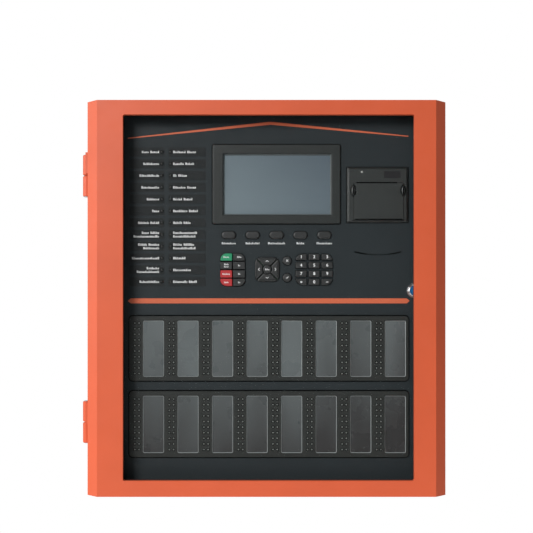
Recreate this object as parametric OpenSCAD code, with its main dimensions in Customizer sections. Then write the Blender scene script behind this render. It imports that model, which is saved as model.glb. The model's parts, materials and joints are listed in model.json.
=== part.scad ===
// Wall-mounted fire alarm control panel.
// Origin: centre of the wall-hole pattern on the wall plane, at mid-height.
// X to the right, Y towards the wall (the front faces -Y), Z up. Millimetres.

/* [Cabinet] */
// Overall width
cab_w = 474; // [470:1:520]
// Overall height
cab_h = 520; // [518:1:560]
// Overall depth, wall to door front
cab_d = 150; // [145:1:200]
// Sheet steel thickness
sheet = 1.5; // [1.2:0.1:1.6]
// Width of the front flange of the rear box
flange = 15; // [13:1:16]

/* [Door] */
// Depth of the door tray
door_d = 40; // [39:1:42]
// Chamfer on the left and right edges of the door
chamfer = 14.8; // [12:0.2:16]
// Left stile, from the chamfer to the window opening
stile_left = 33.9; // [30:0.1:36]
// Right stile
stile_right = 28.5; // [26:0.1:30]
// Top rail
rail_top = 19.1; // [17:0.1:22]
// Bottom rail
rail_bottom = 20.9; // [18:0.1:24]
// Depth of the return round the window opening
return_d = 8; // [4:0.5:9]
// Height of each hinge above and below mid-height
hinge_z = 166; // [120:1:190]

/* [Fascia] */
// Recess of the fascia behind the door front
recess = 30; // [30:1:31]
// How far a key can be pressed
key_travel = 1; // [0.5:0.1:1]
// Pitch of the zone modules
module_pitch = 46.2; // [46:0.1:46.6]

/* [Wall mounting] */
// Spacing of the wall holes across
hole_dx = 440; // [430:1:444]
// Spacing of the wall holes up
hole_dz = 480; // [470:1:484]
// Radius of a wall hole
hole_r = 4; // [3:0.5:5]

/* [Hidden] */
$fn = 48;
SIDES = [-1, 1];
COLS = [0:7];
SOFT = [0:4];
FUNCTION = [0:7];
DIGITS = [0:11];
soft_names = [for (i = SOFT) str("soft_key_", i + 1)];
function_names = [for (i = FUNCTION) str("function_key_", i + 1)];
arrow_names = ["arrow_key_up", "arrow_key_right", "arrow_key_down", "arrow_key_left"];
digit_names = [
    "digit_key_1", "digit_key_2", "digit_key_3", "digit_key_4", "digit_key_5", "digit_key_6",
    "digit_key_7", "digit_key_8", "digit_key_9", "star_key", "digit_key_0", "dash_key"
];

// Planes along the depth
y_front = -cab_d;
y_door = y_front + door_d;
y_cab = y_door + 2;
y_fascia = y_front + recess;
y_skin = y_fascia + sheet;
y_lip = y_cab - 3;
y_return = y_front + return_d;

// Window opening of the door: left, right, bottom, top
win = [
    -cab_w / 2 + chamfer + stile_left, cab_w / 2 - chamfer - stile_right,
    -cab_h / 2 + rail_bottom, cab_h / 2 - rail_top
];
window_pane_t = 3;
pane_lap = 12;

// Door hinge axis, just outside the left wall at the seam
knuckle_r = 5.2;
knuckle_h = 27.5;
hinge_x = -cab_w / 2 - knuckle_r - 0.4;
hinge_y = (y_door + y_cab) / 2;
pin_r = 2.5;
pin_gap = 0.05;

// Inner panel: left, right, bottom, top, and its hinge axis
panel = [-214, 217, -250, 250];
inner_hinge_x = panel[0] + 5;
inner_hinge_y = y_fascia + 4.8;

// Display: bezel and glass
bezel = [-72.3, 98.8, 100.3, 206.2];
glass = [-57.8, 86.6, 112.0, 193.4];
bezel_t = 3.5;
board_y = y_fascia + 7.5;
board_t = 1.6;

// Keys
key_t = 3.2;
key_play = 0.25;
key_rim = 0.55;
key_rim_t = 0.9;
key_back = y_skin + 0.3;
soft_size = [18.8, 9.8];
soft_pitch = 32;
soft_at = [13.5, 85.2];
function_size = [15.6, 9.7];
function_pitch = [17.2, 11.3];
function_at = [-45.2, 38.8];
function_corner = 8.5;
digit_size = [14.5, 7.9];
digit_pitch = [17.4, 11.2];
digit_at = [63.8, 39.1];
digit_corner = 9.5;
pad_at = [0.9, 39.2];
pad_size = 31.8;
pad_corner = 7;
pad_gap = 1.3;
enter_r = 5.6;
enter_ring = 6.6;
round_r = 5.8;
cancel_at = [27.7, 50.8];
confirm_at = [27.7, 28.2];

// Status lights: two columns of twelve
status_x = [-140, -128.3];
status_top = 196.6;
status_pitch = 15.8;

// Zone plates: left, right, bottom, top, and the first row of lights of each
zones = [[-183.5, 189.9, -109.6, -23.3], [-183.5, 189.9, -211.8, -123.8]];
zone_first = [-32.6, -134.2];
zone_windows = [[-104.2, -29.4], [-206.2, -129.9]];
zone_t = 2.5;
zone_window_recess = 0.8;
zone_window_corner = 2;
zone_led_x = [-176.1, -170.4];
zone_led_pitch = 7.5;
zone_window_x = [-165.2, -137.2];

// Printer: front plate, body, cover, paper bay
printer = [107.7, 189.7, 102.2, 175.7];
printer_body = [111, 186.5, 105, 172.5];
printer_t = 4;
printer_rim = 1.2;
printer_slope = 2.8;
printer_back = y_fascia + 54;
cover = [116.5, 182.6, 104.9, 154];
cover_front = y_fascia - 6;
cover_t = 3.2;
cover_hinge = [y_fascia - 4.2, 106.7];
cover_barrel_r = 1.8;
bay = [118.5, 180.6, 108.5, 153.5];
platen_at = [y_fascia + 2, 147.5];
roll_at = [y_fascia + 30, 130];
grip_z = 144.4;

// Sounder and lock
sounder_at = [149.2, 62];
sound_r = 121;
sound_bottom = 58.8;
sound_holes = [2.6, 5.9, 9.2, 12.5];
sound_hole_r = 1;
groove = [14.5, 31.6];
groove_t = 0.8;
lock_at = [198.8, 10.9];
lock_r = 10.9;
plug_r = 6.7;
cam_y = y_cab + 2;

// ---------- shared shapes ----------

// Rounded rectangle in the drawing plane: left, right, bottom, top
module outline(b, r = 0)
    if (r <= 0)
        translate([b[0], b[2]]) square([b[1] - b[0], b[3] - b[2]]);
    else
        union() {
            translate([b[0] + r, b[2]]) square([b[1] - b[0] - 2 * r, b[3] - b[2]]);
            translate([b[0], b[2] + r]) square([b[1] - b[0], b[3] - b[2] - 2 * r]);
            for (x = [b[0] + r, b[1] - r], z = [b[2] + r, b[3] - r])
                translate([x, z]) circle(r);
        }

// Extrudes a shape drawn as X and Z from y0 back to y1
module depth(y0, y1)
    translate([0, y1, 0]) rotate([90, 0, 0]) linear_extrude(y1 - y0) children();

module slab(b, y0, y1, r = 0)
    depth(y0, y1) outline(b, r);

// Round bar along Y
module bar_y(at, r, y0, y1)
    depth(y0, y1) translate(at) circle(r);

// Round bar along X, at [y, z]
module bar_x(at, r, x0, x1)
    translate([x0, at[0], at[1]]) rotate([0, 90, 0]) cylinder(r = r, h = x1 - x0);

// Round bar along Z
module bar_z(x, y, r, z0, z1)
    translate([x, y, z0]) cylinder(r = r, h = z1 - z0);

// Box grown by g on all four sides
function grow(b, g) = [b[0] - g, b[1] + g, b[2] - g, b[3] + g];

// Box of a given size about a centre
function about(at, size) =
    [at[0] - size[0] / 2, at[0] + size[0] / 2, at[1] - size[1] / 2, at[1] + size[1] / 2];

// Centre of cell i in a block of columns and rows, counted from the top left
function cell(at, pitch, cols, rows, i) = [
    at[0] + (i % cols - (cols - 1) / 2) * pitch[0],
    at[1] - (floor(i / cols) - (rows - 1) / 2) * pitch[1]
];

// Height of one status row
function status_z(i) = status_top - i * status_pitch;

// ---------- cabinet ----------

module cable_holes(r, z0, z1)
    for (i = [-2:2])
        bar_z(i * 60, -54, r, z0, z1);

module cabinet()
    color("orangered")
        difference() {
            slab([-cab_w / 2, cab_w / 2, -cab_h / 2, cab_h / 2], y_cab, 0);
            slab(grow([-cab_w / 2, cab_w / 2, -cab_h / 2, cab_h / 2], -sheet), y_cab + sheet, -sheet);
            slab(grow([-cab_w / 2, cab_w / 2, -cab_h / 2, cab_h / 2], -flange), y_cab - 1, y_cab + sheet + 1);
            for (sx = SIDES, sz = SIDES)
                bar_y([sx * hole_dx / 2, sz * hole_dz / 2], hole_r, -sheet - 1, 1);
            cable_holes(11, cab_h / 2 - sheet - 1, cab_h / 2 + 1);
        }

// One knuckle on the hinge axis, with eased ends, and the leaf that holds it
module knuckle(z0, y0, y1)
    union() {
        translate([hinge_x, hinge_y, z0])
            rotate_extrude()
                polygon([
                    [0, 0], [knuckle_r - 1, 0], [knuckle_r, 1], [knuckle_r, knuckle_h - 1],
                    [knuckle_r - 1, knuckle_h], [0, knuckle_h]
                ]);
        translate([-cab_w / 2 - 3, y0, z0]) cube([3, y1 - y0, knuckle_h]);
    }

module cabinet_hinge_leaves()
    color("orangered")
        for (s = SIDES)
            union() {
                knuckle(s * hinge_z - knuckle_h - 0.5, hinge_y + 1, hinge_y + 25);
                bar_z(hinge_x, hinge_y, pin_r, s * hinge_z - 10, s * hinge_z + 23);
            }

module cable_grommets()
    color("black")
        union() {
            cable_holes(13.5, cab_h / 2, cab_h / 2 + 1.5);
            cable_holes(10.9, cab_h / 2 - sheet, cab_h / 2);
            cable_holes(13.5, cab_h / 2 - sheet - 1.5, cab_h / 2 - sheet);
        }

module main_board()
    color("darkgreen") slab([-150, 150, -20, 225], -14, -14 + board_t, 2);

module board_standoffs()
    color("silver")
        for (x = [-142, 142], z = [-12, 102, 217])
            bar_y([x, z], 3, -14 + board_t, -sheet);

module terminal_blocks()
    color("seagreen")
        for (z = [3, 202])
            difference() {
                slab([-132, 132, z - 8, z + 8], -30, -14);
                slab([-133, 133, z - 9, z - 1], -31, -24);
            }

module power_supply()
    color("silver")
        difference() {
            slab([-208, -104, -245, -95], -47, -sheet);
            slab([-206.5, -105.5, -240, -100], -45.5, -sheet - 2);
            for (i = [0:7])
                slab([-196, -116, -224 + i * 14, -219 + i * 14], -48, -45);
        }

module batteries()
    color("dimgray")
        for (x = [-98, 57])
            union() {
                slab([x, x + 151, -cab_h / 2 + sheet, -cab_h / 2 + sheet + 94], -80, -15, 2);
                for (dx = [14, 131])
                    slab([x + dx, x + dx + 6, -cab_h / 2 + sheet + 94, -cab_h / 2 + sheet + 99], -74, -69);
            }

// Brackets on the left flange with the pins that the inner panel turns on
module inner_hinge_brackets()
    color("silver")
        for (s = SIDES)
            mirror([0, 0, s < 0 ? 1 : 0])
                union() {
                    slab([-cab_w / 2 + 3, -cab_w / 2 + 14, 234, 253], y_cab - sheet, y_cab);
                    slab([-cab_w / 2 + 3, inner_hinge_x + 6, 251.5, 253], y_fascia, y_cab);
                    bar_z(inner_hinge_x, inner_hinge_y, pin_r, 245, 253);
                }

// Magnet blocks on the right flange, just behind the door's strike tabs
module door_catches()
    color("dimgray")
        for (s = SIDES)
            slab(about([cab_w / 2 - 13.5, s * 170], [8, 40]), y_front + 9, y_cab);

// ---------- door ----------

// The door's section: a tray with chamfered left and right edges, drawn as X and Y
module door_section(t)
    let (x = cab_w / 2 - t, y = y_front + t, c = chamfer - t * (2 - sqrt(2)))
        polygon([
            [-x, y_door + (t > 0 ? 1 : 0)], [-x, y + c], [-x + c, y],
            [x - c, y], [x, y + c], [x, y_door + (t > 0 ? 1 : 0)]
        ]);

module door_frame()
    color("orangered")
        difference() {
            union() {
                difference() {
                    translate([0, 0, -cab_h / 2]) linear_extrude(cab_h) door_section(0);
                    translate([0, 0, -cab_h / 2 + sheet]) linear_extrude(cab_h - 2 * sheet) door_section(sheet);
                }
                slab(grow(win, sheet), y_front + sheet / 2, y_return, 2.5 + sheet);
                for (s = SIDES)
                    slab([cab_w / 2 - 18, cab_w / 2 - 8.7, s * 170 - 20, s * 170 + 20], y_front + 7, y_front + 8.5);
            }
            slab(win, y_front - 1, y_return + 1, 2.5);
        }

module door_window()
    color("lightblue", 0.3) slab(grow(win, pane_lap), y_return, y_return + window_pane_t, 3);

module door_hinge_leaves()
    color("orangered")
        for (s = SIDES)
            difference() {
                knuckle(s * hinge_z + 0.5, y_door - 24, y_door - 0.2);
                bar_z(hinge_x, hinge_y, pin_r + pin_gap, s * hinge_z - 1, s * hinge_z + 24);
            }

// ---------- inner panel ----------

module key_row(i, g)
    outline(grow(about([soft_at[0] + (i - 2) * soft_pitch, soft_at[1]], soft_size), g), soft_size[1] / 2 + g - 0.05);

// A key of a block: its own rectangle, trimmed by the rounded outline of the whole block
module block_key(at, size, pitch, cols, rows, corner, i, g)
    intersection() {
        outline(grow(about(cell(at, pitch, cols, rows, i), size), g), 0.8);
        outline(grow(about(at, [(cols - 1) * pitch[0] + size[0], (rows - 1) * pitch[1] + size[1]]), g), corner + g);
    }

module function_outline(i, g)
    block_key(function_at, function_size, function_pitch, 2, 4, function_corner, i, g);

module digit_outline(i, g)
    block_key(digit_at, digit_size, digit_pitch, 3, 4, digit_corner, i, g);

module pad_outline(g)
    outline(grow(about(pad_at, [pad_size, pad_size]), g), pad_corner + g);

// Quarter k of the pad, clockwise from the top
module arrow_outline(k, g)
    difference() {
        intersection() {
            pad_outline(g);
            translate(pad_at) rotate(-90 * k)
                polygon([[0, pad_gap / sqrt(2)], [pad_size, pad_size + pad_gap / sqrt(2)],
                    [-pad_size, pad_size + pad_gap / sqrt(2)]]);
        }
        translate(pad_at) circle(enter_ring);
    }

// A captive key: the cap through the fascia and a rim behind it
module key(y_top = y_fascia - key_t) {
    depth(y_top, key_back) children(0);
    depth(key_back, key_back + key_rim_t) children(1);
}

module fascia_holes() {
    for (i = SOFT)
        key_row(i, key_play);
    for (i = FUNCTION)
        function_outline(i, key_play);
    for (i = DIGITS)
        digit_outline(i, key_play);
    pad_outline(key_play);
    for (at = [cancel_at, confirm_at])
        translate(at) circle(round_r + key_play);
    outline(grow(glass, 3.2));
    outline(grow(printer_body, 0.3));
    translate(lock_at) circle(8.8);
    for (s = SIDES, d = sound_holes)
        translate([sounder_at[0] + s * d, sound_bottom + sound_r - sqrt(sound_r * sound_r - d * d)])
            circle(sound_hole_r);
}

// Two shallow grooves that carry the arc of sound holes on to both sides
module sound_grooves()
    intersection() {
        translate([sounder_at[0], sound_bottom + sound_r])
            difference() {
                circle(sound_r + sound_hole_r);
                circle(sound_r - sound_hole_r);
            }
        for (s = SIDES)
            translate([sounder_at[0] + s * (groove[0] + groove[1]) / 2, sound_bottom])
                square([groove[1] - groove[0], 20], center = true);
    }

module inner_panel()
    color("darkslategray")
        difference() {
            slab(panel, y_fascia, y_lip, 3);
            slab(grow(panel, -sheet), y_skin, y_lip + 1, 1.5);
            depth(y_fascia - 1, y_skin + 1) fascia_holes();
            depth(y_fascia - 1, y_fascia + groove_t) sound_grooves();
            for (s = SIDES)
                bar_z(inner_hinge_x, inner_hinge_y, pin_r + pin_gap, s * panel[3] - 3, s * panel[3] + 3);
        }

module lcd_bezel()
    color("darkslategray")
        difference() {
            slab(bezel, y_fascia - bezel_t, y_fascia, 2);
            slab(glass, y_fascia - bezel_t - 1, y_fascia + 1);
        }

module lcd_screen()
    color("slategray") slab(grow(glass, 2.2), y_fascia + 0.3, board_y);

// A switch on the board, a little further behind the key's rim than the key can travel
module switch_at(at)
    bar_y(at, 3, key_back + key_rim_t + key_travel + 0.3, board_y);

// Display and key board with a switch behind each key, and a light board behind each zone plate
module panel_boards()
    color("darkgreen") {
        union() {
            slab([-152, 104, 12, 210], board_y, board_y + board_t, 2);
            for (i = SOFT)
                switch_at([soft_at[0] + (i - 2) * soft_pitch, soft_at[1]]);
            for (i = FUNCTION)
                switch_at(cell(function_at, function_pitch, 2, 4, i));
            for (i = DIGITS)
                switch_at(cell(digit_at, digit_pitch, 3, 4, i));
            for (k = [0:3])
                switch_at(pad_at + 11 * [sin(90 * k), cos(90 * k)]);
            for (at = [pad_at, cancel_at, confirm_at])
                switch_at(at);
        }
        for (z = zones)
            slab(grow(z, -1), y_fascia + 4, y_fascia + 4 + board_t, 2);
    }

module status_leds()
    color("gray")
        union() {
            for (x = status_x, i = [0:11])
                bar_y([x, status_z(i)], 1.5, y_fascia - 0.8, y_fascia);
            bar_y([127.5, 169.3], 1.6, y_fascia - printer_t - 0.6, y_fascia - printer_t);
        }

// The pockets for the label windows, or the windows themselves with g below 0
module zone_pockets(g, y0, y1)
    for (w = zone_windows, m = COLS)
        slab(
            grow([zone_window_x[0] + m * module_pitch, zone_window_x[1] + m * module_pitch, w[0], w[1]], g),
            y0, y1, zone_window_corner + g
        );

module zone_plates()
    color("darkslategray")
        difference() {
            for (z = zones)
                slab(z, y_fascia - zone_t, y_fascia, 4.7);
            zone_pockets(0, y_fascia - zone_t - 1, y_fascia + 1);
        }

module zone_leds()
    color("gray")
        for (k = [0, 1], m = COLS, x = zone_led_x, r = [0:9])
            bar_y([x + m * module_pitch, zone_first[k] - r * zone_led_pitch], 1.1,
                y_fascia - zone_t - 0.4, y_fascia - zone_t, $fn = 16);

module zone_label_windows()
    color("dimgray")
        zone_pockets(-0.1, y_fascia - zone_t + zone_window_recess, y_fascia);

// ---------- printer ----------

// Upright lens-shaped finger grip at one side of the cover
module grip(x, g)
    intersection_for (s = SIDES)
        translate([x + s * (10.9 - 4.2), grip_z]) circle(10.9 + g);

module grips(g) {
    grip(cover[0] - 0.4, g);
    grip(cover[1] + 0.1, g);
}

// Section of the front plate from a to b: a thin rim, a slope at each edge and a flat front
module sloped_section(a, b)
    polygon([
        [a, 0], [a, -printer_rim], [a + printer_slope, -printer_t],
        [b - printer_slope, -printer_t], [b, -printer_rim], [b, 0]
    ]);

// Front plate, sloped on all four sides: one section run upwards, crossed by one run sideways
module printer_plate()
    intersection() {
        translate([0, y_fascia, printer[2] - 1])
            linear_extrude(printer[3] - printer[2] + 2) sloped_section(printer[0], printer[1]);
        translate([printer[1] + 1, y_fascia, 0])
            rotate([0, -90, 0])
                linear_extrude(printer[1] - printer[0] + 2) sloped_section(printer[2], printer[3]);
    }

module printer_housing()
    color("darkslategray")
        difference() {
            union() {
                printer_plate();
                slab(printer_body, y_fascia - 1, printer_back, 2);
            }
            slab([cover[0] - 0.4, cover[1] + 0.4, cover[2] - 0.5, cover[3] + 0.9], y_fascia - printer_t - 1, y_fascia);
            slab(bay, y_fascia - 2, printer_back - 3);
            depth(y_fascia - printer_t - 1, y_fascia - printer_t + 2.5) grips(0);
            slab([157, 179.6, 161, 170.8], y_fascia - printer_t - 1, y_fascia - printer_t + 0.6, 0.6);
        }

module printer_door()
    color("darkslategray")
        difference() {
            union() {
                difference() {
                    slab([cover[0], cover[1], cover_hinge[1], cover[3]], cover_front, cover_front + cover_t);
                    depth(cover_front - 1, cover_front + cover_t + 1) grips(0);
                }
                bar_x(cover_hinge, cover_barrel_r, cover[0], cover[1]);
                for (x = [bay[0] + 0.9, bay[1] - 2.7])
                    translate([x, cover_front + 2, platen_at[1] - 2.5]) cube([1.8, 8.5, 5]);
            }
            bar_x(platen_at, 1.55, cover[0], cover[1]);
        }

module printer_platen()
    color("black")
        union() {
            bar_x(platen_at, 4.3, bay[0] + 3.2, bay[1] - 3.2);
            bar_x(platen_at, 1.5, bay[0] + 0.9, bay[1] - 0.9);
        }

module paper_roll()
    color("white")
        difference() {
            bar_x(roll_at, 18, bay[0] + 3, bay[1] - 3);
            bar_x(roll_at, 6, bay[0], bay[1]);
        }

// ---------- sounder, lock and keys ----------

module buzzer()
    color("black") bar_y(sounder_at, 15, y_skin, y_skin + 11.5);

module lock_body()
    color("silver")
        difference() {
            union() {
                bar_y(lock_at, lock_r, y_fascia - 5, y_fascia);
                bar_y(lock_at, 8.6, y_fascia - 1, y_cab + 1);
                bar_y(lock_at, 12, y_skin, y_skin + 4, $fn = 6);
            }
            bar_y(lock_at, plug_r + pin_gap, y_fascia - 6, y_cab + 2);
        }

// Turning plug with its key slot, and the cam behind it, pointing up when unlocked
module lock_plug()
    color("navy")
        difference() {
            union() {
                bar_y(lock_at, plug_r, y_fascia - 4.6, cam_y + 2);
                slab([lock_at[0] - 5, lock_at[0] + 5, lock_at[1] - 5, lock_at[1] + 31], cam_y, cam_y + 2, 4.5);
            }
            slab(about(lock_at, [1.4, 7]), y_fascia - 6, y_fascia + 6);
        }

module enter_key()
    color("dimgray")
        key(y_fascia - key_t - 0.4) {
            translate(pad_at) circle(enter_r);
            translate(pad_at) circle(enter_r + 0.3);
        }

module round_key(at)
    color("dimgray")
        key() {
            translate(at) circle(round_r);
            translate(at) circle(round_r + key_rim);
        }

module soft_key(i)
    color("dimgray")
        key() {
            key_row(i, 0);
            key_row(i, key_rim);
        }

// The left column starts with a green key above a dark one and two red ones
module function_key(i)
    color(i == 0 ? "seagreen" : i == 4 || i == 6 ? "firebrick" : "dimgray")
        key() {
            function_outline(i, 0);
            function_outline(i, key_rim);
        }

module arrow_key(k)
    color("dimgray")
        key() {
            arrow_outline(k, 0);
            arrow_outline(k, key_rim);
        }

module digit_key(i)
    color("dimgray")
        key() {
            digit_outline(i, 0);
            digit_outline(i, key_rim);
        }

cabinet();
cabinet_hinge_leaves();
cable_grommets();
main_board();
terminal_blocks();
power_supply();
batteries();
board_standoffs();
inner_hinge_brackets();
door_catches();
door_frame();
door_window();
door_hinge_leaves();
inner_panel();
lcd_bezel();
lcd_screen();
panel_boards();
status_leds();
zone_plates();
zone_leds();
zone_label_windows();
printer_housing();
printer_door();
printer_platen();
paper_roll();
buzzer();
lock_body();
lock_plug();
enter_key();
round_key(cancel_at);  // cancel_key
round_key(confirm_at);  // confirm_key
for (i = SOFT)
    soft_key(i);
for (i = FUNCTION)
    function_key(i);
for (k = [0:3])
    arrow_key(k);
for (i = DIGITS)
    digit_key(i);
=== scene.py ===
"""The looks of a wall-mounted fire alarm control panel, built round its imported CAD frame.

Lengths are in millimetres until a mesh is made. X is to the right, the front faces -Y, and Z is up.
Outlines are lists of (x, z), anticlockwise seen from the front.
"""

import json
import math
import random

import bmesh
import bpy
from mathutils import Matrix, Vector


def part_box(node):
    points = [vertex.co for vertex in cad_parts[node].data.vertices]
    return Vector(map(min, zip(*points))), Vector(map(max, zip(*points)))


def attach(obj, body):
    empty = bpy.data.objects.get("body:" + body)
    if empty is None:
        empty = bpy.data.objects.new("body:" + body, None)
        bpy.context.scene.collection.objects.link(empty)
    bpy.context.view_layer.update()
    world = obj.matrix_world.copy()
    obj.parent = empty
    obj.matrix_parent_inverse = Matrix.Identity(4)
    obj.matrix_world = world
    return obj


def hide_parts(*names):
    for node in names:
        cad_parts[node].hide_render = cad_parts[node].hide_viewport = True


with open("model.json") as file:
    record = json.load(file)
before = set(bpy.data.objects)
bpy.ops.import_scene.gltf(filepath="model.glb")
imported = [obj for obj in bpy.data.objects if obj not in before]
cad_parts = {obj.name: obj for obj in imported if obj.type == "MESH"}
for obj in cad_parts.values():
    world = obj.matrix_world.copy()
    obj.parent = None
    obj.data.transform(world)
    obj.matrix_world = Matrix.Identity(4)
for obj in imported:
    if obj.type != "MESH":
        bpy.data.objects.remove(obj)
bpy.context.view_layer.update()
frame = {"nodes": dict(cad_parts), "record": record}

MM = 0.001
NODES = frame["nodes"]
BODIES = frame["record"]["behaviour"]["bodies"]
ZONE_MODULES, MODULE_PITCH = 8, 46.2
BODY_OF = {node: body for body, nodes in BODIES.items() for node in nodes}
SLOT_OF = {part["node"]: part["material_slot"] for part in frame["record"]["subparts"]}
KEYS = [nodes[0] for body, nodes in BODIES.items() if body.endswith("_body")]
PRINT = 0.08
rng = random.Random(20)


def mm(node):
    """The lowest and highest corners of a CAD node, in millimetres."""
    lo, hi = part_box(node)
    return lo / MM, hi / MM


FASCIA = mm("inner_panel")[0].y


# ---------- materials ----------


def srgb(red, green, blue):
    """A colour in linear light from its 0 to 255 values."""
    values = [v / 255 for v in (red, green, blue)]
    return [v / 12.92 if v <= 0.04045 else ((v + 0.055) / 1.055) ** 2.4 for v in values] + [1]


def scaled(colour, share):
    return [min(1, v * share) for v in colour[:3]] + [1]


class Finish:
    """A material with noise in its colour, roughness and surface, in the object's own coordinates."""

    def __init__(self, name, colour, roughness, metallic=0.0, specular=0.5, coat=0.0, alpha=1.0):
        self.material = bpy.data.materials.new(name)
        self.material.use_nodes = True
        self.tree = self.material.node_tree
        self.shader = self.tree.nodes["Principled BSDF"]
        self.colour = colour
        self.roughness = roughness
        self.shader.inputs["Metallic"].default_value = metallic
        self.shader.inputs["Specular IOR Level"].default_value = specular
        self.shader.inputs["Coat Weight"].default_value = coat
        self.shader.inputs["Coat Roughness"].default_value = 0.12
        self.shader.inputs["Alpha"].default_value = alpha
        self.place = self.node("TexCoord").outputs["Object"]

    def node(self, kind, **settings):
        made = self.tree.nodes.new("ShaderNode" + kind)
        for key, value in settings.items():
            setattr(made, key, value)
        return made

    def link(self, source, target):
        self.tree.links.new(source, target)
        return self

    def noise(self, scale, detail=3.0, stretch=(1, 1, 1)):
        mapping = self.node("Mapping")
        mapping.inputs["Scale"].default_value = stretch
        texture = self.node("TexNoise")
        texture.inputs["Scale"].default_value = scale
        texture.inputs["Detail"].default_value = detail
        self.link(self.place, mapping.inputs["Vector"])
        self.link(mapping.outputs["Vector"], texture.inputs["Vector"])
        return texture.outputs["Fac"]

    def along(self, axis, start, end):
        """0 to 1 between two places along an axis, in millimetres."""
        split = self.node("SeparateXYZ")
        self.link(self.place, split.inputs["Vector"])
        return self.remap(split.outputs[axis], start * MM, end * MM, 0, 1)

    def remap(self, source, low, high, to_low, to_high):
        remap = self.node("MapRange")
        for key, value in zip(("From Min", "From Max", "To Min", "To Max"), (low, high, to_low, to_high)):
            remap.inputs[key].default_value = value
        self.link(source, remap.inputs["Value"])
        return remap.outputs["Result"]

    def math(self, operation, a, b):
        node = self.node("Math", operation=operation)
        for socket, value in zip(node.inputs, (a, b)):
            if isinstance(value, (int, float)):
                socket.default_value = value
            else:
                self.link(value, socket)
        return node.outputs["Value"]

    def blend(self, factor, a, b):
        """A colour between a and b, each a colour or another node's output."""
        mix = self.node("Mix", data_type="RGBA")
        self.link(factor, mix.inputs["Factor"])
        for socket, value in ((mix.inputs[6], a), (mix.inputs[7], b)):
            if isinstance(value, list):
                socket.default_value = value
            else:
                self.link(value, socket)
        return mix.outputs[2]

    def paint(self, source):
        self.link(source, self.shader.inputs["Base Color"])
        return self

    def mottle(self, scale, share, stretch=(1, 1, 1)):
        """Makes the colour lighter and darker by a share, in soft patches."""
        patches = self.remap(self.noise(scale, 4, stretch), 0.3, 0.7, 0, 1)
        return self.paint(self.blend(patches, scaled(self.colour, 1 - share), scaled(self.colour, 1 + share)))

    def worn(self, scale, share):
        """Makes the roughness vary by a share either way."""
        low, high = self.roughness * (1 - share), min(1, self.roughness * (1 + share))
        varied = self.remap(self.noise(scale, 5), 0.3, 0.7, low, high)
        return self.link(varied, self.shader.inputs["Roughness"])

    def grain(self, scale, depth, strength=1.0, stretch=(1, 1, 1), detail=2.0):
        """Raises a fine texture by a depth in millimetres."""
        bump = self.node("Bump")
        bump.inputs["Strength"].default_value = strength
        bump.inputs["Distance"].default_value = depth * MM
        self.link(self.noise(scale, detail, stretch), bump.inputs["Height"])
        return self.link(bump.outputs["Normal"], self.shader.inputs["Normal"])


def powder_coat(name, colour, roughness, specular=0.5):
    """Sprayed powder: a fine orange peel, with slightly uneven gloss."""
    made = Finish(name, colour, roughness, specular=specular)
    return made.mottle(14, 0.035).worn(60, 0.12).grain(650, 0.035, 0.5)


def moulded(name, colour, roughness, grain=1500, depth=0.03, specular=0.45, coat=0.0):
    """Moulded plastic with a spark-eroded texture."""
    made = Finish(name, colour, roughness, specular=specular, coat=coat)
    return made.mottle(90, 0.07).worn(220, 0.14).grain(grain, depth, 0.6)


def metal(name, colour, roughness, brushed=(1, 1, 1), depth=0.004):
    made = Finish(name, colour, roughness, metallic=1.0)
    return made.mottle(120, 0.08, brushed).worn(300, 0.25).grain(700, depth, 0.4, brushed)


def printed(name, colour, roughness=0.5):
    """Screen-printed ink, slightly uneven in cover."""
    made = Finish(name, colour, roughness, specular=0.3)
    return made.mottle(500, 0.06).worn(900, 0.1).grain(2400, 0.004, 0.3)


def zinc():
    """Zinc-plated sheet with faint spangles."""
    made = metal("zinc_steel", srgb(176, 179, 182), 0.38, brushed=(1, 1, 0.25))
    cells = made.node("TexVoronoi")
    cells.inputs["Scale"].default_value = 170
    made.link(made.place, cells.inputs["Vector"])
    shade = made.remap(cells.outputs["Distance"], 0, 0.9, 0, 1)
    return made.paint(made.blend(shade, srgb(186, 188, 190), srgb(158, 162, 167)))


def circuit_board():
    """Green solder mask over copper tracks, with raised track edges."""
    made = Finish("circuit_board", srgb(20, 92, 50), 0.32, coat=0.3).worn(90, 0.2)
    turn = made.node("Mapping")
    turn.inputs["Rotation"].default_value = (math.radians(90), 0, 0)
    tracks = made.node("TexBrick")
    for key, value in (("Scale", 150), ("Mortar Size", 0.035), ("Brick Width", 0.9), ("Row Height", 0.22)):
        tracks.inputs[key].default_value = value
    tracks.inputs["Color1"].default_value = srgb(18, 84, 46)
    tracks.inputs["Color2"].default_value = srgb(24, 98, 56)
    tracks.inputs["Mortar"].default_value = srgb(44, 128, 76)
    made.link(made.place, turn.inputs["Vector"]).link(turn.outputs["Vector"], tracks.inputs["Vector"])
    bump = made.node("Bump")
    bump.inputs["Distance"].default_value = 0.03 * MM
    bump.inputs["Strength"].default_value = 0.5
    made.link(tracks.outputs["Fac"], bump.inputs["Height"])
    made.link(bump.outputs["Normal"], made.shader.inputs["Normal"])
    return made.paint(made.blend(made.noise(25), tracks.outputs["Color"], srgb(16, 78, 44)))


def display_glass():
    """A switched-off display with a painted reflection, its colour lighter to the lower left, and a faint
    horizontal weave.
    """
    made = Finish("display_glass", srgb(92, 106, 115), 0.42, specular=0.3).worn(40, 0.08)
    lo, hi = mm("lcd_screen")
    across = made.along("X", lo.x, hi.x)
    upward = made.along("Z", lo.z, hi.z)
    # painted reflection: the base colour runs lighter towards the lower left
    slope = made.math("ADD", made.math("MULTIPLY", across, 0.65), made.math("MULTIPLY", upward, 0.35))
    streak = made.math("MULTIPLY", made.noise(40, 2, (0.4, 1, 3)), 0.12)
    made.paint(made.blend(made.math("ADD", slope, streak), srgb(119, 134, 140), srgb(88, 101, 110)))
    return made.grain(1200, 0.004, 0.3)


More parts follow.
